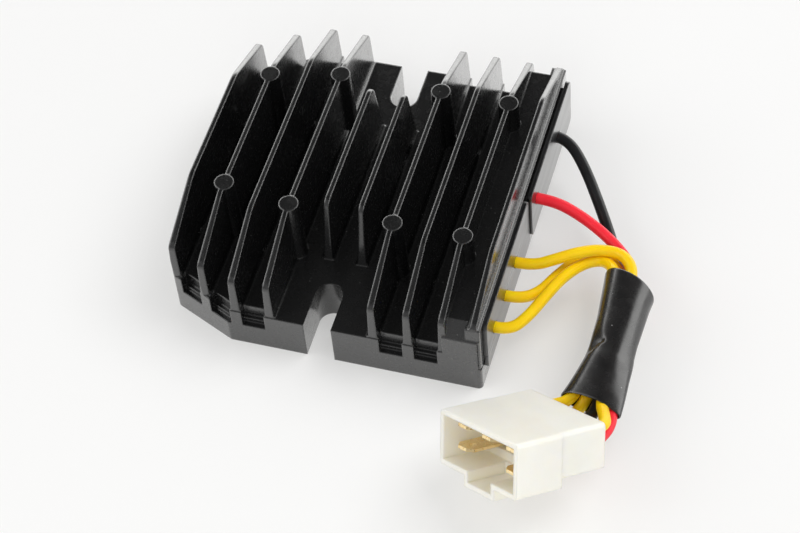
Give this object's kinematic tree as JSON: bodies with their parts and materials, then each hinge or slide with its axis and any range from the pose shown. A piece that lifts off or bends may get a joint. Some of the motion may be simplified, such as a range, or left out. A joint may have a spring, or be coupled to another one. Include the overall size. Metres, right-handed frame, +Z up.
{
  "type": "voltage regulator rectifier",
  "caption": "Voltage regulator rectifier: finned black heat sink with open mounting notches, a potted side, insulated leads in a sleeve and a blade connector.",
  "frame": {"origin": "on the base plane, under the middle of the box of the heat sink and its cover plates", "axes": "+Z up out of the base through the fins, +Y back along the fins, +X across the fins to the side where the leads leave"},
  "size_m": [0.1237, 0.1356, 0.0353],
  "materials": {
    "casting": "gloss black paint on die-cast aluminium",
    "resin": "satin potting resin",
    "plate": "satin moulded cover",
    "substrate": "ceramic-filled sheet",
    "semiconductor": "matt moulded package",
    "board": "solder-masked laminate",
    "tinned_metal": "tinned",
    "chip": "matt moulded package",
    "capacitor": "dipped",
    "yellow_insulation": "smooth insulation",
    "red_insulation": "smooth insulation",
    "black_insulation": "smooth insulation",
    "sleeve": "satin flexible tube",
    "nylon": "natural nylon, slightly translucent",
    "brass": "plain"
  },
  "bodies": {
    "root": {"back_cover_plate": "plate", "black_blade_terminal": "brass", "black_lead": "black_insulation", "black_lead_end": "black_insulation", "black_solder_tab": "tinned_metal", "board_pins": "tinned_metal", "board_resistors": "chip", "connector_housing": "nylon", "control_board": "board", "control_chip": "chip", "diode_1": "semiconductor", "diode_2": "semiconductor", "diode_3": "semiconductor", "filter_capacitor": "capacitor", "front_cover_plate": "plate", "heatsink_housing": "casting", "insulating_substrate": "substrate", "potting_resin": "resin", "protective_sleeve": "sleeve", "red_blade_terminal": "brass", "red_lead": "red_insulation", "red_lead_end": "red_insulation", "red_solder_tab": "tinned_metal", "thyristor_1": "semiconductor", "thyristor_2": "semiconductor", "thyristor_3": "semiconductor", "yellow_blade_terminal_1": "brass", "yellow_blade_terminal_2": "brass", "yellow_blade_terminal_3": "brass", "yellow_lead_1": "yellow_insulation", "yellow_lead_2": "yellow_insulation", "yellow_lead_3": "yellow_insulation", "yellow_lead_end_1": "yellow_insulation", "yellow_lead_end_2": "yellow_insulation", "yellow_lead_end_3": "yellow_insulation", "yellow_solder_tab_1": "tinned_metal", "yellow_solder_tab_2": "tinned_metal", "yellow_solder_tab_3": "tinned_metal", "zener_diode": "chip"}
  },
  "joints": []
}
